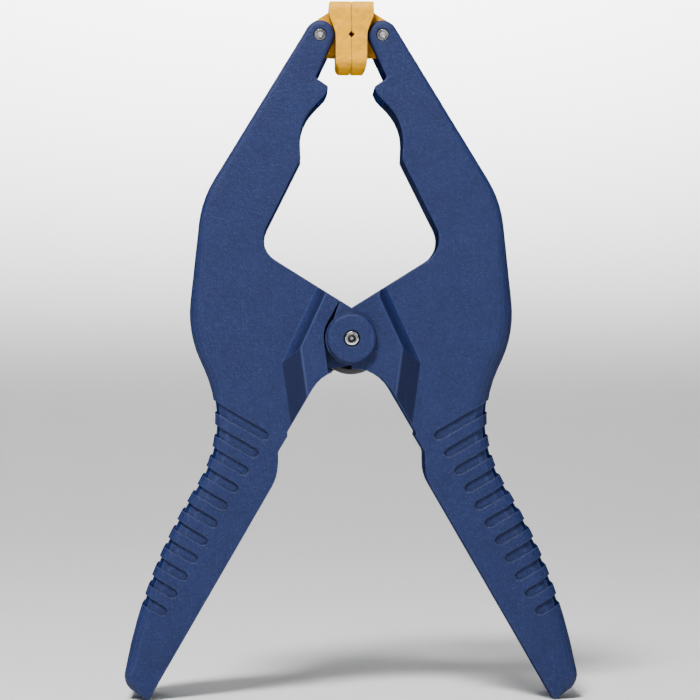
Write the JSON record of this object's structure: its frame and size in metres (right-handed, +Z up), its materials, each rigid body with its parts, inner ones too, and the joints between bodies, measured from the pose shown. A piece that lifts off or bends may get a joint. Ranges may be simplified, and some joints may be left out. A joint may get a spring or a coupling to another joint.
{
  "type": "spring_clamp",
  "caption": "Spring clamp with blue moulded handles, swivelling yellow jaw pads and a steel torsion spring round the pivot rivet",
  "frame": {"origin": "centre of the clamp's footprint under the rivet, on the surface that the handle ends stand on", "axes": "+X across the jaws towards the right handle, +Y from the front (the face with the rivet's hollow end) to the back, +Z up from the handle ends to the jaws"},
  "size_m": [0.145, 0.036, 0.2231],
  "materials": {
    "body": "fine-grained glass-filled blue moulding",
    "pad": "smooth yellow moulding",
    "spring": "dark phosphated spring wire",
    "steel": "bright zinc-plated steel"
  },
  "bodies": {
    "left_handle": {"left_handle": "body", "pivot_rivet": "steel", "left_pad_pin": "steel", "main_spring": "spring"},
    "right_handle": {"right_handle": "body", "right_pad_pin": "steel"},
    "left_pad": {"left_pad": "pad"},
    "right_pad": {"right_pad": "pad"}
  },
  "joints": [
    {"name": "jaw_pivot", "type": "hinge", "parent": "left_handle", "child": "right_handle", "pos_m": [0, 0, 0.1155], "axis": [0, 1, 0], "range_deg": [0, 50], "stiffness_Nm_per_rad": 3, "springref_deg": -28.65, "deforming": ["main_spring"]},
    {"name": "left_pad_swivel", "type": "hinge", "parent": "left_handle", "child": "left_pad", "pos_m": [-0.01, 0, 0.2125], "axis": [0, 1, 0], "range_deg": [0, 25]},
    {"name": "right_pad_swivel", "type": "hinge", "parent": "right_handle", "child": "right_pad", "pos_m": [0.01, 0, 0.2125], "axis": [0, 1, 0], "range_deg": [-25, 0]}
  ],
  "couplings": [
    {"joint": "left_pad_swivel", "follows": "jaw_pivot", "ratio": 0.5},
    {"joint": "right_pad_swivel", "follows": "jaw_pivot", "ratio": -0.5}
  ]
}
